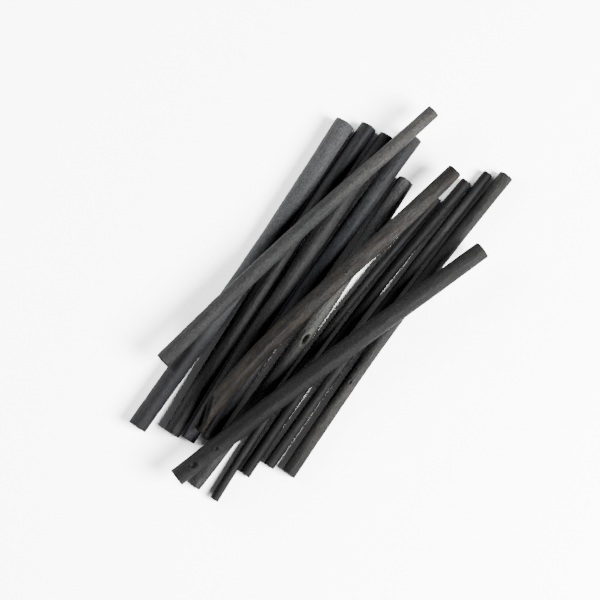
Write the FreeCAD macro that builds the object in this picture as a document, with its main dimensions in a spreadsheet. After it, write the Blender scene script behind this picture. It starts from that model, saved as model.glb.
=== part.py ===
import FreeCAD, Part
import Sketcher
import os

# A loose heap of charred willow drawing sticks. Nine lie side by side on the table with
# their lengths roughly along +X, and three lie across them. Lengths are in millimetres.

doc = FreeCAD.newDocument("CharcoalHeap")
dims = doc.addObject("Spreadsheet::Sheet", "Dims")
layout = doc.addObject("Spreadsheet::Sheet", "Layout")


def fill(sheet, rows):
    """Writes name and value pairs down a sheet and gives each value its alias."""
    for number, (alias, value) in enumerate(rows, 1):
        sheet.set("A%d" % number, alias)
        sheet.set("B%d" % number, value)
        sheet.setAlias("B%d" % number, alias)


# ---------------------------------------------------------------- driving dimensions
sizes = [
    ("stick_length", "150"),
    ("thick_diameter", "7.6"),
    ("medium_diameter", "7.0"),
    ("thin_diameter", "4.5"),
    ("pith_diameter", "1.8"),
    ("pith_clearance", "0.04"),
    ("pith_recess", "0.2"),
    ("edge_chamfer", "0.25"),
    ("rest_gap", "0.25"),
    ("sawn_end", "4"),
    ("left_grip", "15"),
    ("upper_grip", "12"),
    ("lower_grip", "12"),
    ("heap_shift_x", "0.605"),
    ("heap_shift_y", "0.702"),
    ("upper_turn", "-12.0"),
    ("split_turn", "-10.4"),
    ("lower_turn", "-18.35"),
    ("upper_bow", "1.1"),
    ("split_bow", "2.1"),
    ("lower_bow", "0.8"),
    ("upper_reach", "6.2"),
    ("split_reach", "12.7"),
    ("lower_reach", "6.7"),
    ("split_lean", "1.2"),
    ("break_length", "15"),
    ("break_tongue", "0.16"),
    ("break_turn", "-50"),
    ("pith_break_share", "0.55"),
    ("knot_station", "0.487"),
    ("knot_offset", "0.27"),
    ("knot_length", "3.6"),
    ("knot_width", "1.9"),
    ("knot_depth", "1.5"),
    ("notch_length", "3.2"),
    ("knotted_low_y", "1.088"),
    ("knotted_mid_y", "-0.562"),
    ("knotted_high_y", "1.688"),
]

# stick: class, length trim, shift of its low end, diameter ratios at low end, middle, high end
sticks = {
    "left": ("thick", 1.0, -8.4, 1.039, 1.066, 1.105),
    "dark": ("thick", 0.0, -2.7, 0.908, 0.947, 0.953),
    "tapered": ("thick", -1.0, -0.9, 0.750, 1.000, 0.921),
    "grey": ("thick", 0.5, 3.6, 0.716, 0.921, 0.883),
    "knotted": ("medium", 2.0, -14.9, 0.886, 1.000, 0.986),
    "chipped": ("thin", 3.0, -14.5, 0.844, 0.844, 0.844),
    "bowed": ("thin", 0.5, 0.7, 1.071, 1.027, 1.044),
    "slim": ("thin", 0.0, 8.9, 1.022, 0.944, 0.900),
    "right": ("medium", 1.5, 10.7, 0.886, 0.843, 0.857),
    "upper": ("medium", 0.5, 18.5, 0.943, 0.943, 0.829),
    "split": ("medium", -2.0, 4.5, 1.000, 1.086, 0.957),
    "lower": ("medium", 3.5, -16.4, 1.043, 1.129, 1.057),
}
for name, (kind, trim, shift, low, mid, high) in sticks.items():
    sizes += [
        (name + "_trim", str(trim)),
        (name + "_shift", str(shift)),
        (name + "_low_ratio", str(low)),
        (name + "_mid_ratio", str(mid)),
        (name + "_high_ratio", str(high)),
    ]

# free space between neighbours at the low ends, the middles and the high ends
gaps = {
    ("left", "dark"): (5.31, 0.74, 0.82),
    ("dark", "tapered"): (0.59, 0.23, 1.49),
    ("tapered", "grey"): (0.78, 0.41, 2.64),
    ("grey", "knotted"): (0.33, 3.02, 0.49),
    ("knotted", "chipped"): (4.50, 1.25, 9.15),
    ("chipped", "bowed"): (0.13, 1.84, 1.73),
    ("bowed", "slim"): (1.45, 2.47, 0.95),
    ("slim", "right"): (2.80, 1.78, 1.68),
}
ends = ("low", "mid", "high")
for (one, other), values in gaps.items():
    for end, value in zip(ends, values):
        sizes.append(("gap_%s_%s_%s" % (one, other, end), str(value)))
fill(dims, sizes)
doc.recompute()

# ---------------------------------------------------------------- sizes worked out from them
derived = []
for name, (kind, trim, shift, low, mid, high) in sticks.items():
    derived.append((name + "_length", "=Dims.stick_length + Dims.%s_trim" % name))
    derived.append((name + "_start", "=0 - Dims.stick_length / 2 + Dims.%s_shift" % name))
    for end in ends:
        derived.append(
            ("%s_%s_d" % (name, end), "=Dims.%s_diameter * Dims.%s_%s_ratio" % (kind, name, end))
        )
fill(layout, derived)
doc.recompute()


def row_position(name, beside, sign, end):
    """The row position of a stick's end, next to a neighbour that already has one."""
    pair = (name, beside) if sign > 0 else (beside, name)
    gap = "Dims.gap_%s_%s_%s" % (pair[0], pair[1], end)
    return "=%s_%s_y %s ((%s_%s_d + %s_%s_d) / 2 + %s)" % (
        beside, end, "+" if sign > 0 else "-", name, end, beside, end, gap,
    )


rows = list(derived)
for end in ends:
    rows.append(("knotted_%s_y" % end, "=Dims.knotted_%s_y" % end))
order_up = ["knotted", "grey", "tapered", "dark", "left"]
order_down = ["knotted", "chipped", "bowed", "slim", "right"]
for order, sign in ((order_up, 1), (order_down, -1)):
    for beside, name in zip(order, order[1:]):
        for end in ends:
            rows.append(("%s_%s_y" % (name, end), row_position(name, beside, sign, end)))
floor_sticks = order_up[::-1] + order_down[1:]
for name in floor_sticks:
    rows.append((name + "_turn", "=asin((%s_high_y - %s_low_y) / %s_length)" % (name, name, name)))
    chord = "(%s_low_y + %s_high_y) / 2" % (name, name)
    rows.append((name + "_bow", "=(%s_mid_y - %s) / cos(%s_turn)" % (name, chord, name)))
    rows.append((name + "_lift", "=0 * %s_length" % name))

# the crossing sticks lie level on the thickest of the sticks below them
crossing = {
    "upper": ("left", ("left", "dark", "tapered", "grey")),
    "split": ("knotted", ("tapered", "grey", "knotted", "chipped", "bowed")),
    "lower": ("knotted", ("grey", "knotted", "chipped", "bowed", "slim", "right")),
}
for name, (beside, below) in crossing.items():
    rows.append((name + "_low_y", "=%s_low_y + Dims.%s_reach" % (beside, name)))
    rows.append((name + "_turn", "=Dims.%s_turn * 1 deg" % name))
    rows.append((name + "_bow", "=Dims.%s_bow" % name))
    highest = "; ".join("%s_mid_d" % b for b in below)
    rows.append((name + "_lift", "=max(%s) + Dims.rest_gap" % highest))
fill(layout, rows)
doc.recompute()


# ---------------------------------------------------------------- one stick
def plane_of(body, role):
    """One of the body's own origin planes."""
    return [f for f in body.Origin.OriginFeatures if f.Role == role][0]


def sketch_on(body, role, name, offsets):
    """An empty sketch on one of the body's origin planes, moved by bound offsets."""
    sketch = body.newObject("Sketcher::SketchObject", name)
    sketch.AttachmentSupport = [(plane_of(body, role), "")]
    sketch.MapMode = "FlatFace"
    for axis, expression in zip("xyz", offsets):
        if expression is not None:
            sketch.setExpression("AttachmentOffset.Base." + axis, expression)
    return sketch


def constraint(*values):
    """A sketch constraint."""
    return Sketcher.Constraint(*values)


def circle_at(body, name, station, side, height, radius):
    """A circle across the stick at a distance along it, off to one side, at a height."""
    sketch = sketch_on(body, "YZ_Plane", name, (side, height, station))
    centre = FreeCAD.Vector(0, 0, 0)
    sketch.addGeometry(Part.Circle(centre, FreeCAD.Vector(0, 0, 1), 2.0), False)
    sketch.addConstraint(constraint("Coincident", 0, 3, -1, 1))
    number = sketch.addConstraint(constraint("Radius", 0, 2.0))
    sketch.setExpression("Constraints[%d]" % number, radius)
    return sketch


def polygon_on(sketch, points):
    """A closed polygon whose corners are bound to expressions measured from the origin."""
    size = len(points)
    for n in range(size):
        (x0, y0, _, _), (x1, y1, _, _) = points[n], points[(n + 1) % size]
        start, stop = FreeCAD.Vector(x0, y0, 0), FreeCAD.Vector(x1, y1, 0)
        sketch.addGeometry(Part.LineSegment(start, stop), False)
    for n in range(size):
        sketch.addConstraint(constraint("Coincident", n, 2, (n + 1) % size, 1))
    for n, (x, y, bound_x, bound_y) in enumerate(points):
        for kind, value, bound in (("DistanceX", x, bound_x), ("DistanceY", y, bound_y)):
            number = sketch.addConstraint(constraint(kind, -1, 1, n, 1, value))
            if bound:
                sketch.setExpression("Constraints[%d]" % number, bound)


def bend(name, share):
    """How far the centre line stands off to the side, this share of the way along its bend."""
    lean = "(1 + Dims.split_lean * %g)" % (1 - 2 * share) if name == "split" else "1"
    return "Layout.%s_bow * %g * %s" % (name, 4 * share * (1 - share), lean)


def diameter(name, share):
    """The diameter this share of the way along, on a smooth curve through the three given."""
    low = 2 * (share - 0.5) * (share - 1)
    mid = 4 * share * (1 - share)
    high = 2 * share * (share - 0.5)
    terms = ["%g * Layout.%s_%s_d" % (w, name, e) for w, e in zip((low, mid, high), ends) if w]
    return "(" + " + ".join(terms) + ")"


spans = 8


def straight_end(name, end, grips):
    """Length of the straight round part at one end of a stick."""
    return "Dims.%s_grip" % name if end in grips else "Dims.sawn_end"


def stations(name, grips):
    """Distance along, side offset and diameter of each cross-section of the bent part."""
    start = straight_end(name, "low", grips)
    stop = "(Layout.%s_length - %s)" % (name, straight_end(name, "high", grips))
    found = []
    for step in range(spans + 1):
        share = step / spans
        along = "%.6f * %s + %.6f * %s" % (1 - share, start, share, stop)
        found.append((along, bend(name, share), diameter(name, share)))
    return found


def place(body, name):
    """Binds a body's position and turn in the heap."""
    body.Placement = FreeCAD.Placement(
        FreeCAD.Vector(0, 0, 0), FreeCAD.Rotation(FreeCAD.Vector(0, 0, 1), 1)
    )
    body.setExpression("Placement.Base.x", "Layout.%s_start + Dims.heap_shift_x" % name)
    body.setExpression("Placement.Base.y", "Layout.%s_low_y + Dims.heap_shift_y" % name)
    body.setExpression("Placement.Base.z", "Layout.%s_lift" % name)
    body.setExpression("Placement.Rotation.Angle", "Layout.%s_turn" % name)


def loft(body, kind, name, profiles):
    """A skin through a row of cross-sections."""
    feature = body.newObject("PartDesign::" + kind, name)
    feature.Profile = profiles[0]
    feature.Sections = profiles[1:]
    feature.Ruled = True
    return feature


def pith_sections(body, name, label, grips, radius, reach, broken=False):
    """Cross-sections of the pith, or of its channel when reach takes it past the ends.

    A broken stick's pith begins where the break has left the rod whole again."""
    bent = stations(name, grips)
    first, second, last = bent[0], bent[1], bent[-1]
    start = ("0 * Dims.stick_length - %s" % reach, first[1], first[2])
    stop = ("Layout.%s_length + %s" % (name, reach), last[1], last[2])
    row = [start] + bent + [stop]
    if broken:
        whole = "Dims.break_length * Dims.pith_break_share"
        share = "((%s - (%s)) / ((%s) - (%s)))" % (whole, first[0], second[0], first[0])
        side = "(%s) * %s" % (second[1], share)
        across = "(%s + (%s - %s) * %s)" % (first[2], second[2], first[2], share)
        row = [(whole, side, across)] + bent[1:] + [stop]
    return [
        circle_at(body, "%s%d" % (label, n), along, side, centre_height(across), radius)
        for n, (along, side, across) in enumerate(row)
    ]


def centre_height(across):
    """The centre line's height above the surface that the stick lies on."""
    return across + " / 2"


def pith_radius(name):
    """Half the pith's width, in proportion to the stick's own thickness."""
    return "Dims.pith_diameter / 2 * Layout.%s_mid_d / Dims.thick_diameter" % name


def sawn_edges(shape, length, skip):
    """Names of the outer edges of the sawn ends, leaving out the ends in skip."""
    found = []
    for number, edge in enumerate(shape.Edges, 1):
        box = edge.BoundBox
        flat = box.XLength < 1e-3 and max(box.YLength, box.ZLength) > 2.5
        at_low = abs(box.XMin) < 1e-3 and "low" not in skip
        at_high = abs(box.XMax - length) < 1e-3 and "high" not in skip
        if flat and (at_low or at_high):
            found.append("Edge%d" % number)
    return found


def stick(name, node, grips=(), extras=()):
    """The charred rod of one stick and the pith in its channel."""
    rod = doc.addObject("PartDesign::Body", node)
    rod.Label = node
    bent = stations(name, grips)
    sections = [
        circle_at(rod, "Section%d" % n, along, side, centre_height(across), across + " / 2")
        for n, (along, side, across) in enumerate(bent)
    ]
    loft(rod, "AdditiveLoft", "Rod", sections)
    for end, (_, side, across) in (("low", bent[0]), ("high", bent[-1])):
        size = straight_end(name, end, grips)
        along = "0 * " + size if end == "low" else "Layout.%s_length - %s" % (name, size)
        face = circle_at(
            rod, "Face_" + end, along, side, centre_height(across), across + " / 2"
        )
        pad = rod.newObject("PartDesign::Pad", "End_" + end)
        pad.Profile = face
        pad.setExpression("Length", size)
    doc.recompute()
    skip = ("low",) if "break" in extras else ()
    edges = sawn_edges(pad.Shape, layout.get(name + "_length"), skip)
    chamfer = rod.newObject("PartDesign::Chamfer", "SawnEdge")
    chamfer.Base = (pad, edges)
    chamfer.setExpression("Size", "Dims.edge_chamfer")
    channel = pith_sections(
        rod, name, "Channel", grips, pith_radius(name) + " + Dims.pith_clearance", "1"
    )
    loft(rod, "SubtractiveLoft", "PithChannel", channel)
    if "break" in extras:
        broken_end(rod, name)
    if "knot" in extras:
        knot_hole(rod, name)
    if "notch" in extras:
        chipped_tip(rod, name)
    place(rod, name)

    pith = doc.addObject("PartDesign::Body", node + "_pith")
    pith.Label = node + "_pith"
    core = pith_sections(
        pith, name, "Core", grips, pith_radius(name), "(0 - Dims.pith_recess)",
        broken="break" in extras,
    )
    loft(pith, "AdditiveLoft", "Pith", core)
    place(pith, name)
    doc.recompute()
    return rod, pith


def broken_end(body, name):
    """A long slanting break, turned to one side, that leaves a thin tongue at the low end."""
    across = "Layout.%s_low_d" % name
    tongue = "0 - " + across + " * Dims.break_tongue"
    sketch = sketch_on(body, "XZ_Plane", "BreakProfile", (None, centre_height(across), None))
    turned = FreeCAD.Placement(
        FreeCAD.Vector(0, 0, 0), FreeCAD.Rotation(FreeCAD.Vector(-1, 0, 0), 1)
    )
    sketch.AttachmentOffset = turned
    sketch.setExpression("AttachmentOffset.Base.y", centre_height(across))
    sketch.setExpression("AttachmentOffset.Rotation.Angle", "0 - Dims.break_turn")
    polygon_on(sketch, [
        (-2.0, -1.1, None, tongue),
        (3.0, -0.9, "Dims.break_length / 4", tongue + " * 0.8"),
        (15.0, 5.6, "Dims.break_length", across + " * 0.8"),
        (-2.0, 5.6, None, across + " * 0.8"),
    ])
    pocket = body.newObject("PartDesign::Pocket", "Break")
    pocket.Profile = sketch
    pocket.SideType = "Symmetric"
    pocket.setExpression("Length", across + " * 4")


def knot_hole(body, name):
    """The oval hollow left where a side shoot broke off."""
    across = "Layout.%s_mid_d" % name
    along = "Layout.%s_length * Dims.knot_station" % name
    side = "%s - Dims.knot_offset * %s" % (bend(name, 0.5), across)
    sketch = sketch_on(body, "XY_Plane", "KnotProfile", (along, side, across))
    centre = FreeCAD.Vector(0, 0, 0)
    ellipse = Part.Ellipse(centre, 1.8, 0.95)
    sketch.addGeometry(ellipse, False)
    sketch.exposeInternalGeometry(0)
    sketch.addConstraint(constraint("Coincident", 0, 3, -1, 1))
    lines = [n for n, g in enumerate(sketch.Geometry) if isinstance(g, Part.LineSegment)]
    lines.sort(key=lambda n: -sketch.Geometry[n].length())
    sketch.addConstraint(constraint("Horizontal", lines[0]))
    for line, bound in zip(lines, ("Dims.knot_length", "Dims.knot_width")):
        value = sketch.Geometry[line].length()
        number = sketch.addConstraint(constraint("Distance", line, value))
        sketch.setExpression("Constraints[%d]" % number, bound)
    pocket = body.newObject("PartDesign::Pocket", "KnotHole")
    pocket.Profile = sketch
    pocket.setExpression("Length", "Dims.knot_depth + %s * Dims.knot_offset / 2" % across)


def chipped_tip(body, name):
    """A small wedge chipped out of one side of the low end."""
    across = "Layout.%s_low_d" % name
    sketch = sketch_on(body, "XY_Plane", "ChipProfile", (None, None, None))
    polygon_on(sketch, [
        (-1.0, 0.6, None, across + " * 0.28"),
        (2.0, 1.2, "Dims.notch_length * 0.6", across + " * 0.33"),
        (3.2, 4.0, "Dims.notch_length", across),
        (-1.0, 4.0, None, across),
    ])
    pocket = body.newObject("PartDesign::Pocket", "Chip")
    pocket.Profile = sketch
    pocket.Reversed = True
    pocket.setExpression("Length", across + " * 2")


# ---------------------------------------------------------------- the heap
stick("left", "thick_stick_left", grips=("low",))
stick("dark", "thick_stick_dark")
stick("tapered", "thick_stick_tapered")
stick("grey", "thick_stick_grey")
stick("knotted", "medium_stick_knotted", extras=("knot",))
stick("chipped", "thin_stick_chipped", extras=("notch",))
stick("bowed", "thin_stick_bowed")
stick("slim", "thin_stick_slim")
stick("right", "medium_stick_right")
stick("upper", "medium_stick_upper", grips=("high",))
stick("split", "medium_stick_split", extras=("break",))
stick("lower", "medium_stick_lower", grips=("high",))
doc.recompute()

# ---------------------------------------------------------------- checks and export
problems = []
for item in doc.Objects:
    if "Invalid" in item.State or "Error" in item.State:
        problems.append("%s is in state %s" % (item.Label, item.State))
bodies = [o for o in doc.Objects if o.TypeId == "PartDesign::Body"]
for body in bodies:
    shape = body.Shape
    if shape.isNull() or not shape.isValid() or len(shape.Solids) != 1:
        problems.append("%s has no single valid solid" % body.Label)
if problems:
    raise RuntimeError("; ".join(problems))

os.makedirs("parts", exist_ok=True)
for body in bodies:
    body.Shape.exportStep("parts/%s.step" % body.Label)
    box = body.Shape.BoundBox
    print(
        "%-28s x %7.2f %7.2f  y %7.2f %7.2f  z %6.2f %6.2f"
        % (body.Label, box.XMin, box.XMax, box.YMin, box.YMax, box.ZMin, box.ZMax)
    )
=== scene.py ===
import bpy
import bmesh
import math
import numpy as np
from mathutils import Matrix, Vector


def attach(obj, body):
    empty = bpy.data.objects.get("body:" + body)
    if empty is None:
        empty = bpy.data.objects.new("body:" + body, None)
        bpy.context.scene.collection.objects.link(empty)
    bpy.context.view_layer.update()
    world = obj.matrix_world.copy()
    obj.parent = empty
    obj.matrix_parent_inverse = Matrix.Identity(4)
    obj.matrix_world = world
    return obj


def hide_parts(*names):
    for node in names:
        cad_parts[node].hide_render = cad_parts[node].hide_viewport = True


# A loose heap of willow charcoal sticks. Lengths inside the stick builders are in
# millimetres, and every finished mesh is in metres, in the same frame as the CAD.

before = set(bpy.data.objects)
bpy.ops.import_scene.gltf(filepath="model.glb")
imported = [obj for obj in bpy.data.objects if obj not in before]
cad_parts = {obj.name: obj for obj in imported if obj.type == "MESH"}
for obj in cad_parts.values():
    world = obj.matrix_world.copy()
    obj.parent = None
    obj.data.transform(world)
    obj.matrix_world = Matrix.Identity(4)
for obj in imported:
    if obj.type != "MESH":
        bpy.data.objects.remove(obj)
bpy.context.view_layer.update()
print("frame loaded")

mm = 0.001
pithClearance = 0.04
edgeRounding = 0.22
roundingSteps = (0.0, 0.05, 0.12, edgeRounding)
evenRingsFrom = 0.45
ringSpacing = 0.3
channelRings = 26
poreDepth = 0.14
chipDepth = 0.35


# A value inside a node tree, so that node sums read as sums.
class Field:
    def __init__(self, tree, socket):
        self.tree, self.socket = tree, socket

    def math(self, kind, *others):
        node = self.tree.nodes.new("ShaderNodeMath")
        node.operation = kind
        for place, value in enumerate((self,) + others):
            feed(self.tree, node.inputs[place], value)
        return Field(self.tree, node.outputs[0])

    def __add__(self, other):
        return self.math("ADD", other)

    def __sub__(self, other):
        return self.math("SUBTRACT", other)

    def __mul__(self, other):
        return self.math("MULTIPLY", other)

    def __truediv__(self, other):
        return self.math("DIVIDE", other)

    def ramp(self, low, high, atLow=0.0, atHigh=1.0):
        node = self.tree.nodes.new("ShaderNodeMapRange")
        node.interpolation_type = "SMOOTHSTEP"
        for place, value in enumerate((self, low, high, atLow, atHigh)):
            feed(self.tree, node.inputs[place], value)
        return Field(self.tree, node.outputs[0])


def feed(tree, socket, value):
    if isinstance(value, Field):
        tree.links.new(value.socket, socket)
    else:
        socket.default_value = value


def combine(tree, x, y, z):
    node = tree.nodes.new("ShaderNodeCombineXYZ")
    for place, value in enumerate((x, y, z)):
        feed(tree, node.inputs[place], value)
    return Field(tree, node.outputs[0])


def separate(tree, vector):
    node = tree.nodes.new("ShaderNodeSeparateXYZ")
    feed(tree, node.inputs[0], vector)
    return [Field(tree, out) for out in node.outputs]


def noise(tree, x, y, z, detail=2.0, rough=0.5):
    node = tree.nodes.new("ShaderNodeTexNoise")
    feed(tree, node.inputs["Vector"], combine(tree, x, y, z))
    node.inputs["Scale"].default_value = 1.0
    node.inputs["Detail"].default_value = detail
    node.inputs["Roughness"].default_value = rough
    return Field(tree, node.outputs[0])


def cells(tree, x, y, z):
    node = tree.nodes.new("ShaderNodeTexVoronoi")
    feed(tree, node.inputs["Vector"], combine(tree, x, y, z))
    node.inputs["Scale"].default_value = 1.0
    return Field(tree, node.outputs["Distance"])


# Centre line, turn and thickness along one stick, measured on its CAD node.
def sectionsOf(node):
    faceDepth = 0.12
    ringDepth = 0.09
    fewestPoints = 16
    leastWidth = 2.5
    outOfRound = 0.03
    endGap = 0.2
    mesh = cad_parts[node].data
    points = np.array([v.co for v in mesh.vertices], float) / mm
    flat = points[:, :2] - points[:, :2].mean(0)
    along = np.linalg.svd(flat, full_matrices=False)[2][0]
    along = np.array([along[0], along[1], 0.0]) * (1 if along[0] > 0 else -1)
    for _ in range(2):
        reach = points @ along
        face = points[reach > reach.max() - faceDepth]
        along = np.linalg.svd(face - face.mean(0), full_matrices=False)[2][2]
        along = np.array([along[0], along[1], 0.0]) * (1 if along[0] > 0 else -1)
        along /= np.linalg.norm(along)
    side = np.array([-along[1], along[0], 0.0])
    reach = points @ along
    low, high = reach.min(), reach.max()
    across, height = points @ side, points[:, 2]
    rings = []
    for value in np.unique(np.round(reach, 1)):
        near = abs(reach - value) < ringDepth
        wide, tall = np.ptp(across[near]), np.ptp(height[near])
        if near.sum() < fewestPoints or wide < leastWidth or abs(wide - tall) > outOfRound * wide:
            continue
        if value - low < endGap or high - value < endGap:
            continue
        middle = (across[near].min() + across[near].max()) / 2
        centre = (height[near].min() + height[near].max()) / 2
        rings.append((reach[near].mean() - low, middle, centre, (wide + tall) / 4))
    rings = np.array(rings)
    fits = [np.polyfit(rings[:, 0], rings[:, n], 4) for n in (1, 2, 3)]
    inside = rings[0, 0], rings[-1, 0]
    return {"length": high - low, "along": along, "side": side, "low": low,
            "fits": fits, "inside": inside}


def centreAt(shape, distance):
    held = np.clip(distance, *shape["inside"])
    slopes = [np.polyder(fit) for fit in shape["fits"]]
    past = distance - held
    return [np.polyval(f, held) + past * np.polyval(s, held) * (n < 1)
            for n, (f, s) in enumerate(zip(shape["fits"], slopes))]


# The skin of a rod as rows of points round it: out along the side, in over the high end,
# back down the pith channel and out over the low end, which closes the row of rows.
def rodRows(length, radius, channel):
    edge = edgeRounding
    count = int((length - 1.0) / ringSpacing)
    rows = [(a, edge - math.sqrt(edge ** 2 - (edge - a) ** 2), 0) for a in roundingSteps]
    middle = np.linspace(evenRingsFrom, length - evenRingsFrom, count)
    rows += [(a, 0.0, 0) for a in middle]
    rows += [(length - a, cut, 0) for a, cut, _ in reversed(rows[:len(roundingSteps)])]
    inwardCount = max(int((radius - channel) / ringSpacing), 4)
    inward = np.linspace(edge, radius - channel, inwardCount)[1:]
    rows += [(length, cut, 1) for cut in inward]
    rows += [(a, None, 2) for a in np.linspace(length, 0, channelRings)[1:]]
    rows += [(0.0, cut, 1) for cut in inward[::-1][1:]]
    return rows


def buildRod(piece, node, spec):
    shape = sectionsOf(node)
    length = shape["length"]
    radius = float(centreAt(shape, length / 2)[2])
    channel = spec["pith"] / 2 + pithClearance
    rows = rodRows(length, radius, channel)
    around = spec["around"]
    turn = np.arange(around) * 2 * math.pi / around
    place, coord, zone = [], [], []
    for distance, cut, kind in rows:
        middle, centre, own = (float(v) for v in centreAt(shape, distance))
        size = channel if cut is None else max(own - cut, channel)
        y, z = size * np.cos(turn), size * np.sin(turn)
        base = shape["along"] * (shape["low"] + distance)
        place.append(base + np.outer(middle + y, shape["side"]) + np.outer(centre + z, [0, 0, 1]))
        coord.append(np.stack([np.full(around, distance), y, z], 1))
        zone.append(np.full(around, kind))
    place, coord = np.concatenate(place), np.concatenate(coord)
    zone = np.concatenate(zone)
    if "broken" in spec:
        place, zone = breakEnd(place, coord, zone, shape, spec["broken"])
    total = len(rows)
    first = np.arange(total)[:, None] * around + np.arange(around)
    second = np.roll(first, -1, 0)
    quads = np.stack([first, np.roll(first, -1, 1), np.roll(second, -1, 1), second], 2)
    mesh = bpy.data.meshes.new(piece)
    mesh.from_pydata((place * mm).tolist(), [], quads.reshape(-1, 4).tolist())
    work = bmesh.new()
    work.from_mesh(mesh)
    bmesh.ops.recalc_face_normals(work, faces=work.faces)
    work.to_mesh(mesh)
    work.free()
    mesh.polygons.foreach_set("use_smooth", [True] * len(mesh.polygons))
    mesh.attributes.new("rodCoord", "FLOAT_VECTOR", "POINT").data.foreach_set(
        "vector", coord.astype(np.float32).ravel())
    mesh.attributes.new("rodZone", "FLOAT", "POINT").data.foreach_set(
        "value", zone.astype(np.float32))
    rod = bpy.data.objects.new(piece, mesh)
    bpy.context.scene.collection.objects.link(rod)
    return rod, shape


# A slanting break: points above the tilted break surface drop onto it, and the surface
# is scooped out along its middle, so a dark hollow shows with a pointed sliver beside it.
def breakEnd(place, coord, zone, shape, broken):
    tilt = math.radians(broken["tilt"])
    normal = np.array([math.cos(tilt), math.sin(tilt)])
    across = np.array([-normal[1], normal[0]])
    height = coord[:, 1:] @ normal
    aside = coord[:, 1:] @ across
    share = np.clip(coord[:, 0] / broken["length"], 0, 1)
    rise = broken["tip"] + (broken["top"] - broken["tip"]) * share ** broken["curve"]
    scoop = broken["scoop"] * np.clip(1 - (aside / broken["width"]) ** 2, 0, 1)
    scoop = scoop * np.clip(coord[:, 0] / 2.5, 0.25, 1) * (1 - share ** 3)
    ragged = 0.22 * np.sin(aside * 5.1 + coord[:, 0] * 0.4) + 0.14 * np.sin(aside * 11.3)
    surface = rise - scoop + ragged * (share < 1)
    drop = np.clip(height - surface, 0, None) * (coord[:, 0] < broken["length"])
    direction = shape["side"] * normal[0] + np.array([0, 0, 1]) * normal[1]
    cut = drop > 0.02
    return place - drop[:, None] * direction, np.where(cut & (zone < 2), 1.5, zone)


# Surface of charred wood
def groupInputs(tree, wanted):
    for name, kind, value in wanted:
        made = tree.interface.new_socket(name=name, in_out="INPUT", socket_type=kind)
        if value is not None:
            made.default_value = value
    source = tree.nodes.new("NodeGroupInput")
    return {name: Field(tree, source.outputs[name]) for name, _, _ in wanted}


def named(tree, name, kind):
    node = tree.nodes.new("GeometryNodeInputNamedAttribute")
    node.data_type = kind
    node.inputs["Name"].default_value = name
    return Field(tree, node.outputs["Attribute"])


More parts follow.
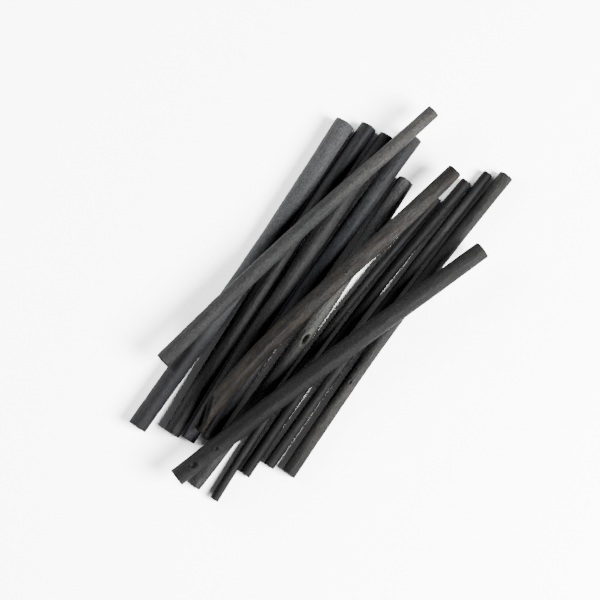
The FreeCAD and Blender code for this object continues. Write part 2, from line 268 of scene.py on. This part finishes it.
def charSurfaceTree(spec):
    tree = bpy.data.node_groups.new("charSurface", "GeometryNodeTree")
    inputs = groupInputs(tree, (
        ("Geometry", "NodeSocketGeometry", None), ("Seed", "NodeSocketFloat", 0.0),
        ("Length", "NodeSocketFloat", 150.0), ("Radius", "NodeSocketFloat", 3.5),
        ("Lumps", "NodeSocketFloat", 0.16), ("Grain", "NodeSocketFloat", 0.07),
        ("Pits", "NodeSocketFloat", 0.25), ("Chips", "NodeSocketFloat", 0.3),
        ("Material", "NodeSocketMaterial", None)))
    tree.interface.new_socket(name="Geometry", in_out="OUTPUT", socket_type="NodeSocketGeometry")
    coord = named(tree, "rodCoord", "FLOAT_VECTOR")
    zone = named(tree, "rodZone", "FLOAT")
    x, y, z = separate(tree, coord)
    seed = inputs["Seed"] * 37.0
    fromAxis = (y * y + z * z).math("SQRT")
    onSide = zone.ramp(0.4, 0.6, 1.0, 0.0)
    outside = zone.ramp(1.6, 1.9, 1.0, 0.0)

    # slow swellings, long flats left by peeling, and the fine grain running lengthwise
    lumps = noise(tree, x * 0.055 + seed, y * 0.22, z * 0.22, 1.0) - 0.62
    flats = noise(tree, x * 0.012 + seed, y * 0.34, z * 0.34 + 5.0, 0.0) - 0.55
    grain = noise(tree, x * 0.11 + seed, y * 1.9, z * 1.9, 2.0, 0.65)
    groove = (grain - 0.5).math("ABSOLUTE").ramp(0.0, 0.09, -1.0, 0.0)
    height = lumps * inputs["Lumps"] + flats * inputs["Lumps"] + groove * inputs["Grain"]

    # scattered pores and short cross cracks
    crowd = noise(tree, x * 0.05 + seed, y * 0.3, z * 0.3 + 9.0, 1.0).ramp(0.5, 0.68)
    pore = cells(tree, x * 0.75 + seed, y * 1.15, z * 1.15).ramp(0.1, 0.24, 1.0, 0.0) * crowd
    crack = noise(tree, x * 1.5 + seed, y * 0.35, z * 0.35 + 3.0, 1.0)
    crack = (crack - 0.5).math("ABSOLUTE").ramp(0.0, 0.012, 1.0, 0.0) * crowd
    recessShade = pore.math("MAXIMUM", crack * 0.35)
    height = height - (recessShade * inputs["Pits"]) * onSide

    # knots and bud scars, each a raised rim round a hollow
    for place, turn, size, squash, rim, depth in spec["knots"]:
        angle = math.radians(turn)
        away = x - float(place)
        dy = y - inputs["Radius"] * math.cos(angle)
        dz = z - inputs["Radius"] * math.sin(angle)
        wobble = noise(tree, x * 0.9 + seed, y * 0.9, z * 0.9, 2.0) * 0.5 + 0.75
        away = (away * squash * (away * squash) + dy * dy + dz * dz).math("SQRT")
        away = away * wobble / size
        ring = away.ramp(0.55, 1.0) * away.ramp(1.05, 2.1, 1.0, 0.0)
        hollow = away.ramp(0.3, 0.95, 1.0, 0.0)
        height = height + ring * rim - hollow * depth
        recessShade = recessShade.math("MAXIMUM", hollow)

    # crumbled edges at the sawn ends, cracks running out from the pith
    atEnd = x.math("MINIMUM", inputs["Length"] - x).ramp(0.15, 1.3, 1.0, 0.0)
    rimNear = fromAxis.ramp(inputs["Radius"] * 0.7, inputs["Radius"], 0.0, 1.0)
    crumb = noise(tree, x * 1.3 + seed, y * 0.8, z * 0.8, 3.0, 0.6).ramp(0.5, 0.72)
    angle = z.math("ARCTAN2", y)
    rays = noise(tree, angle * 3.2 + seed, fromAxis * 0.15, 2.0, 1.0)
    rays = (rays - 0.5).math("ABSOLUTE").ramp(0.0, 0.03, 1.0, 0.0)
    saw = noise(tree, x + seed, y * 0.6, z * 2.6, 2.0) - 0.5
    onFace = outside - onSide
    height = height * onSide - atEnd * rimNear * crumb * inputs["Chips"] * outside
    height = height + onFace * (saw * 0.12 - rays * 0.22 - 0.05)

    normal = Field(tree, tree.nodes.new("GeometryNodeInputNormal").outputs[0])
    scale = tree.nodes.new("ShaderNodeVectorMath")
    scale.operation = "SCALE"
    feed(tree, scale.inputs[0], normal)
    feed(tree, scale.inputs["Scale"], height * mm)
    move = tree.nodes.new("GeometryNodeSetPosition")
    feed(tree, move.inputs["Geometry"], inputs["Geometry"])
    feed(tree, move.inputs["Offset"], Field(tree, scale.outputs[0]))
    # the mask of pores, cracks and knot hollows, with the cracks on the end faces, is stored so the
    # material can paint shade into them
    store = tree.nodes.new("GeometryNodeStoreNamedAttribute")
    store.inputs["Name"].default_value = "paintedShadeMask"
    tree.links.new(move.outputs[0], store.inputs["Geometry"])
    feed(tree, store.inputs["Value"], recessShade.math("MAXIMUM", rays * onFace * 0.8))
    realize = tree.nodes.new("GeometryNodeRealizeInstances")
    tree.links.new(store.outputs[0], realize.inputs[0])
    paint = tree.nodes.new("GeometryNodeSetMaterial")
    tree.links.new(realize.outputs[0], paint.inputs["Geometry"])
    feed(tree, paint.inputs["Material"], inputs["Material"])
    result = tree.nodes.new("NodeGroupOutput")
    tree.links.new(paint.outputs[0], result.inputs[0])
    return tree


# Runs a node tree on an object and keeps the result as its plain mesh.
def bakeNodes(thing, tree, values):
    modifier = thing.modifiers.new("shape", "NODES")
    modifier.node_group = tree
    for item in tree.interface.items_tree:
        if item.in_out == "INPUT" and item.name in values:
            modifier[item.identifier] = values[item.name]
    bpy.context.view_layer.update()
    graph = bpy.context.evaluated_depsgraph_get()
    made = bpy.data.meshes.new_from_object(thing.evaluated_get(graph), depsgraph=graph)
    thing.modifiers.clear()
    old = thing.data
    thing.data = made
    made.name = thing.name
    bpy.data.meshes.remove(old)


# Charcoal material
def ramped(tree, value, stops):
    node = tree.nodes.new("ShaderNodeValToRGB")
    feed(tree, node.inputs[0], value)
    elements = node.color_ramp.elements
    while len(elements) < len(stops):
        elements.new(0.5)
    for element, (place, _) in zip(elements, stops):
        element.position = place
    for element, (_, colour) in zip(elements, stops):
        element.color = tuple(colour) + (1.0,)
    return Field(tree, node.outputs[0])


def mixed(tree, share, one, other):
    node = tree.nodes.new("ShaderNodeMix")
    node.data_type = "RGBA"
    feed(tree, node.inputs["Factor"], share)
    feed(tree, node.inputs[6], one)
    feed(tree, node.inputs[7], other)
    return Field(tree, node.outputs[2])


def shaderAttribute(tree, name, output):
    node = tree.nodes.new("ShaderNodeAttribute")
    node.attribute_name = name
    return Field(tree, node.outputs[output])


def grey(value):
    return (value, value, value, 1.0)


# how dark the char is next to the colours given
charTone = 0.08

# how much of each stick's stated shine reaches its shader
shineShare = 0.12


def charMaterial(name, seed, length, look):
    material = bpy.data.materials.new(name)
    material.use_nodes = True
    tree = material.node_tree
    shader = tree.nodes["Principled BSDF"]
    x, y, z = separate(tree, shaderAttribute(tree, "rodCoord", "Vector"))
    zone = shaderAttribute(tree, "rodZone", "Fac")
    recessShade = shaderAttribute(tree, "paintedShadeMask", "Fac")
    shift = seed * 17.0

    # colour along the stick from its stops: partly the char's own tone, partly painted light and
    # painted shade
    colour = ramped(tree, x / length, look["stops"])
    clouds = noise(tree, x * 0.16 + shift, y * 0.5, z * 0.5, 3.0, 0.6)
    streaks = noise(tree, x * 0.045 + shift, y * 1.7, z * 1.7, 2.0, 0.6)
    fibre = noise(tree, x * 0.5 + shift, y * 7.0, z * 7.0, 2.0, 0.7)
    dust = noise(tree, x * 1.5 + shift, y * 2.2, z * 2.2, 3.0, 0.75)
    tone = clouds.ramp(0.3, 0.7, 1 - look["cloud"], 1 + look["cloud"]) * charTone
    tone = tone * streaks.ramp(0.3, 0.7, 1 - look["streak"] * 0.7, 1 + look["streak"] * 0.7)
    tone = tone * fibre.ramp(0.25, 0.75, 0.72, 1.3)
    tone = tone * dust.ramp(0.28, 0.72, 0.45, 1.7)
    pores = cells(tree, x * 0.8 + shift, y * 1.2, z * 1.2).ramp(0.14, 0.3, 0.7, 0.0)
    tone = tone * (pores * clouds.ramp(0.4, 0.6) * -1.0 + 1.0)
    rim = x.math("MINIMUM", x * -1.0 + length).ramp(0.1, 0.8, 0.3, 1.0)
    tone = tone * rim
    if "patch" in look:
        spread = noise(tree, x * 0.09 + shift, y * 0.55, z * 0.55 + 4.0, 3.0, 0.6)
        colour = mixed(tree, spread.ramp(*look["patchEdge"]), colour, tuple(look["patch"]) + (1.0,))
    toned = tree.nodes.new("ShaderNodeVectorMath")
    toned.operation = "SCALE"
    feed(tree, toned.inputs[0], colour)
    feed(tree, toned.inputs["Scale"], tone)
    colour = Field(tree, toned.outputs[0])
    # painted shade: pores, cracks, knot hollows and end-face cracks are painted almost black,
    # standing in for the shade inside them
    colour = mixed(tree, recessShade * 0.95, colour, grey(0.0002))
    ends = zone.ramp(0.5, 1.0) * zone.ramp(1.6, 1.9, 1.0, 0.0)
    face = noise(tree, x + shift, y * 1.6, z * 1.6, 3.0, 0.6).ramp(0.3, 0.7, 0.0002, 0.0012)
    faceColour = combine(tree, face, face, face)
    colour = mixed(tree, ends, colour, faceColour)
    feed(tree, shader.inputs["Base Color"], colour)
    rough = fibre.ramp(0.2, 0.8, look["rough"] - 0.08, look["rough"] + 0.1)
    feed(tree, shader.inputs["Roughness"], rough)
    shader.inputs["Specular IOR Level"].default_value = look["shine"] * shineShare
    bump = tree.nodes.new("ShaderNodeBump")
    bump.inputs["Strength"].default_value = 0.9
    bump.inputs["Distance"].default_value = 0.00012
    feed(tree, bump.inputs["Height"], fibre * 0.7 + dust * 0.5 + streaks * 0.4)
    tree.links.new(bump.outputs[0], shader.inputs["Normal"])
    return material


def plainMaterial(name, colour, rough, shine):
    material = bpy.data.materials.new(name)
    material.use_nodes = True
    shader = material.node_tree.nodes["Principled BSDF"]
    shader.inputs["Base Color"].default_value = tuple(colour) + (1.0,)
    shader.inputs["Roughness"].default_value = rough
    shader.inputs["Specular IOR Level"].default_value = shine
    return material


pithMaterial = plainMaterial("pith", (0.0006, 0.0006, 0.0005), 0.9, 0.03)


def makeStick(node, spec):
    piece = node + "_charred"
    rod, shape = buildRod(piece, node, spec)
    material = charMaterial(piece, spec["seed"], shape["length"], spec["look"])
    tree = charSurfaceTree(spec)
    radius = float(centreAt(shape, shape["length"] / 2)[2])
    bakeNodes(rod, tree, {
        "Seed": float(spec["seed"]), "Length": float(shape["length"]), "Radius": radius,
        "Lumps": spec["lumps"], "Grain": spec["grain"], "Pits": poreDepth, "Chips": chipDepth,
        "Material": material})
    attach(rod, node)
    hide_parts(node)
    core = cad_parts[node + "_pith"]
    core.data.materials.clear()
    core.data.materials.append(pithMaterial)
    print("made", piece, len(rod.data.polygons))


# The twelve sticks
# knots: distance from the low end, turn round the stick, size, squash along, rim, depth
# stops: colour along each stick from its low end. They hold the char's own tone, painted shade
# where crossing and neighbouring sticks shade a stick, and painted light where a part lies in shade
# under these lamps
leftStick = {
    "seed": 1, "around": 96, "pith": 1.9, "lumps": 0.3, "grain": 0.03,
    "knots": [(86.0, 100, 0.5, 1.0, 0.05, 0.3), (80.5, 128, 0.35, 1.0, 0.02, 0.25),
              (92.0, 140, 0.35, 1.0, 0.02, 0.25)],
    "look": {"stops": [(0.0, (0.035, 0.036, 0.04)), (0.25, (0.03, 0.031, 0.034)),
                       (0.5, (0.13, 0.135, 0.145)), (1.0, (0.14, 0.142, 0.145))],
             "cloud": 0.12, "streak": 0.14, "rough": 0.62, "shine": 0.35}}
makeStick("thick_stick_left", leftStick)

darkStick = {
    "seed": 2, "around": 96, "pith": 1.8, "lumps": 0.35, "grain": 0.08,
    "knots": [(60.0, 60, 0.4, 1.0, 0.03, 0.25)],
    "look": {"stops": [(0.0, (0.007, 0.007, 0.0075)), (0.6, (0.007, 0.007, 0.0075)),
                       (0.8, (0.05, 0.052, 0.058)), (1.0, (0.03, 0.03, 0.033))],
             "cloud": 0.25, "streak": 0.35, "rough": 0.55, "shine": 0.4}}
makeStick("thick_stick_dark", darkStick)

taperedStick = {
    "seed": 3, "around": 96, "pith": 1.8, "lumps": 0.35, "grain": 0.08,
    "knots": [(3.0, 95, 0.6, 1.0, 0.06, 0.3), (30.0, 70, 0.4, 1.0, 0.03, 0.2)],
    "look": {"stops": [(0.0, (0.11, 0.11, 0.115)), (0.15, (0.035, 0.035, 0.04)),
                       (0.4, (0.05, 0.05, 0.05)), (0.7, (0.05, 0.05, 0.05)),
                       (1.0, (0.03, 0.03, 0.034))],
             "cloud": 0.2, "streak": 0.25, "rough": 0.58, "shine": 0.35}}
makeStick("thick_stick_tapered", taperedStick)

greyStick = {
    "seed": 4, "around": 96, "pith": 1.8, "lumps": 0.45, "grain": 0.07,
    "knots": [(149.0, 70, 0.8, 0.7, 0.08, 0.4), (100.0, 50, 0.4, 1.0, 0.03, 0.2)],
    "look": {"stops": [(0.0, (0.03, 0.03, 0.034)), (0.4, (0.026, 0.026, 0.032)),
                       (0.6, (0.042, 0.043, 0.052)), (0.8, (0.07, 0.072, 0.077)),
                       (1.0, (0.055, 0.055, 0.058))],
             "cloud": 0.22, "streak": 0.25, "rough": 0.58, "shine": 0.35}}
makeStick("thick_stick_grey", greyStick)

knottedStick = {
    "seed": 5, "around": 96, "pith": 1.7, "lumps": 0.4, "grain": 0.08,
    "knots": [(74.1, 120, 1.35, 0.46, 0.3, 2.0)],
    "look": {"stops": [(0.0, (0.075, 0.075, 0.075)), (0.44, (0.065, 0.065, 0.065)),
                       (0.49, (0.135, 0.135, 0.125)), (0.62, (0.125, 0.125, 0.115)),
                       (0.76, (0.1, 0.105, 0.115)), (1.0, (0.2, 0.2, 0.2))],
             "cloud": 0.25, "streak": 0.25, "rough": 0.6, "shine": 0.35}}
makeStick("medium_stick_knotted", knottedStick)

chippedStick = {
    "seed": 6, "around": 64, "pith": 1.1, "lumps": 0.3, "grain": 0.06,
    "knots": [(115.7, 60, 0.4, 0.8, 0.05, 0.25), (52.0, 80, 0.35, 1.0, 0.04, 0.2)],
    "look": {"stops": [(0.0, (0.034, 0.033, 0.032)), (0.2, (0.02, 0.02, 0.02)),
                       (0.5, (0.06, 0.058, 0.058)), (0.75, (0.018, 0.018, 0.018)),
                       (1.0, (0.011, 0.011, 0.011))],
             "cloud": 0.3, "streak": 0.3, "rough": 0.6, "shine": 0.35}}
makeStick("thin_stick_chipped", chippedStick)

bowedStick = {
    "seed": 7, "around": 64, "pith": 1.2, "lumps": 0.3, "grain": 0.06,
    "knots": [(135.6, 130, 0.5, 0.8, 0.08, 0.3), (132.0, 90, 0.45, 0.8, 0.08, 0.3),
              (100.8, 60, 0.55, 0.7, 0.1, 0.3), (99.6, 100, 0.3, 1.0, 0.04, 0.2)],
    "look": {"stops": [(0.0, (0.012, 0.012, 0.012)), (0.4, (0.008, 0.008, 0.008)),
                       (0.75, (0.009, 0.009, 0.009)), (1.0, (0.023, 0.023, 0.023))],
             "cloud": 0.3, "streak": 0.3, "rough": 0.6, "shine": 0.35}}
makeStick("thin_stick_bowed", bowedStick)

slimStick = {
    "seed": 8, "around": 64, "pith": 1.2, "lumps": 0.3, "grain": 0.06,
    "knots": [(131.0, 60, 0.5, 0.8, 0.08, 0.3), (129.9, 110, 0.35, 1.0, 0.05, 0.25),
              (20.0, 60, 0.4, 1.0, 0.05, 0.25)],
    "look": {"stops": [(0.0, (0.019, 0.019, 0.018)), (0.3, (0.028, 0.028, 0.028)),
                       (0.6, (0.032, 0.031, 0.032)), (0.8, (0.053, 0.053, 0.051)),
                       (1.0, (0.012, 0.012, 0.012))],
             "cloud": 0.3, "streak": 0.3, "rough": 0.6, "shine": 0.35}}
makeStick("thin_stick_slim", slimStick)

rightStick = {
    "seed": 9, "around": 88, "pith": 1.6, "lumps": 0.4, "grain": 0.08,
    "knots": [(133.3, 105, 0.4, 1.0, 0.04, 0.25), (113.8, 50, 0.45, 1.0, 0.05, 0.25),
              (44.4, 95, 0.75, 0.7, 0.1, 0.4), (45.5, 75, 0.35, 1.0, 0.04, 0.3),
              (9.0, 70, 0.4, 1.0, 0.04, 0.25)],
    "look": {"stops": [(0.0, (0.022, 0.022, 0.022)), (0.2, (0.074, 0.073, 0.067)),
                       (0.5, (0.06, 0.06, 0.06)), (0.8, (0.047, 0.047, 0.046)),
                       (1.0, (0.06, 0.06, 0.057))],
             "cloud": 0.25, "streak": 0.2, "rough": 0.6, "shine": 0.35}}
makeStick("medium_stick_right", rightStick)

upperStick = {
    "seed": 10, "around": 88, "pith": 1.5, "lumps": 0.35, "grain": 0.09,
    "knots": [(105.0, 100, 0.4, 1.0, 0.05, 0.3), (104.4, 72, 0.45, 0.8, 0.05, 0.3),
              (43.1, 85, 0.35, 1.0, 0.03, 0.25), (60.0, 55, 0.3, 1.0, 0.03, 0.2)],
    "look": {"stops": [(0.0, (0.067, 0.069, 0.067)), (0.6, (0.07, 0.072, 0.072)),
                       (0.8, (0.13, 0.128, 0.122)), (1.0, (0.15, 0.148, 0.14))],
             "cloud": 0.2, "streak": 0.25, "rough": 0.6, "shine": 0.35}}
makeStick("medium_stick_upper", upperStick)

splitStick = {
    "seed": 11, "around": 96, "pith": 1.8, "lumps": 0.6, "grain": 0.12,
    "broken": {"length": 14.5, "tip": -0.9, "top": 3.9, "curve": 1.3, "tilt": 38,
               "scoop": 2.6, "width": 2.4},
    "knots": [(86.5, 95, 0.6, 0.8, 0.1, 0.4), (40.0, 70, 0.4, 1.0, 0.05, 0.3),
              (88.0, 60, 0.4, 1.0, 0.05, 0.3)],
    "look": {"stops": [(0.0, (0.042, 0.033, 0.026)), (0.2, (0.022, 0.02, 0.017)),
                       (0.4, (0.025, 0.023, 0.021)), (0.6, (0.063, 0.061, 0.056)),
                       (0.8, (0.095, 0.095, 0.09)), (1.0, (0.026, 0.026, 0.025))],
             "patch": (0.062, 0.047, 0.036), "patchEdge": (0.46, 0.68),
             "cloud": 0.3, "streak": 0.35, "rough": 0.6, "shine": 0.35}}
makeStick("medium_stick_split", splitStick)

lowerStick = {
    "seed": 12, "around": 96, "pith": 1.8, "lumps": 0.4, "grain": 0.08,
    "knots": [(150.0, 80, 0.5, 1.0, 0.05, 0.4), (116.0, 60, 0.6, 0.9, 0.06, 0.4),
              (19.5, 105, 0.8, 0.8, 0.12, 0.5), (17.6, 88, 0.6, 1.0, 0.08, 0.4),
              (8.4, 100, 1.5, 0.8, 0.2, 0.7), (6.9, 84, 0.7, 1.0, 0.1, 0.5),
              (2.0, 110, 0.6, 1.0, 0.06, 0.4),
              (60.0, 50, 0.4, 1.0, 0.04, 0.25)],
    "look": {"stops": [(0.0, (0.027, 0.028, 0.027)), (0.2, (0.012, 0.012, 0.012)),
                       (0.5, (0.021, 0.021, 0.021)), (0.8, (0.034, 0.034, 0.034)),
                       (1.0, (0.048, 0.049, 0.047))],
             "cloud": 0.2, "streak": 0.22, "rough": 0.6, "shine": 0.35}}
makeStick("medium_stick_lower", lowerStick)
print("sticks made")

# Floor, light and camera
floorMesh = bpy.data.meshes.new("floor")
floorReach = 2.5
floorGrey = (0.93, 0.93, 0.93)
floorMesh.from_pydata([(-floorReach, -floorReach, 0), (floorReach, -floorReach, 0),
                       (floorReach, floorReach, 0), (-floorReach, floorReach, 0)],
                      [], [(0, 1, 2, 3)])
floorMesh.materials.append(plainMaterial("floor", floorGrey, 0.8, 0.1))
floor = bpy.data.objects.new("floor", floorMesh)
bpy.context.scene.collection.objects.link(floor)

# where the view's up direction lies in the row frame
cameraTurn = math.radians(55.26)
viewUp = Vector((math.sin(cameraTurn), math.cos(cameraTurn), 0))


def addLight(name, along, across, height, size, power):
    light = bpy.data.lights.new(name, "AREA")
    light.shape, light.size, light.energy = "DISK", size, power
    holder = bpy.data.objects.new(name, light)
    holder.location = (along, across, height)
    holder.rotation_mode = "QUATERNION"
    holder.rotation_quaternion = (-holder.location).to_track_quat("-Z", "Y")
    bpy.context.scene.collection.objects.link(holder)


worldStrength = 0.12
addLight("softbox", 0.15, -0.9, 0.78, 0.65, 200.0)
addLight("fill", -0.2, 0.95, 0.45, 0.8, 68.0)
world = bpy.data.worlds.new("world")
bpy.context.scene.world = world
world.use_nodes = True
world.node_tree.nodes["Background"].inputs["Color"].default_value = grey(1.0)
world.node_tree.nodes["Background"].inputs["Strength"].default_value = worldStrength

cameraTilt = math.radians(10)
cameraDistance = 0.9
cameraAngle = math.radians(15.374)
aim = Vector((-0.00302, 0.00969, 0.004))
back = Vector((0, 0, math.cos(cameraTilt))) - viewUp * math.sin(cameraTilt)
right = (-back).cross(viewUp).normalized()
cameraData = bpy.data.cameras.new("camera")
cameraData.angle = cameraAngle
camera = bpy.data.objects.new("camera", cameraData)
upward = right.cross(-back)
turned = Matrix((right, upward, back)).transposed()
camera.matrix_world = Matrix.Translation(aim + back * cameraDistance) @ turned.to_4x4()
bpy.context.scene.collection.objects.link(camera)
bpy.context.scene.camera = camera

print("camera set")
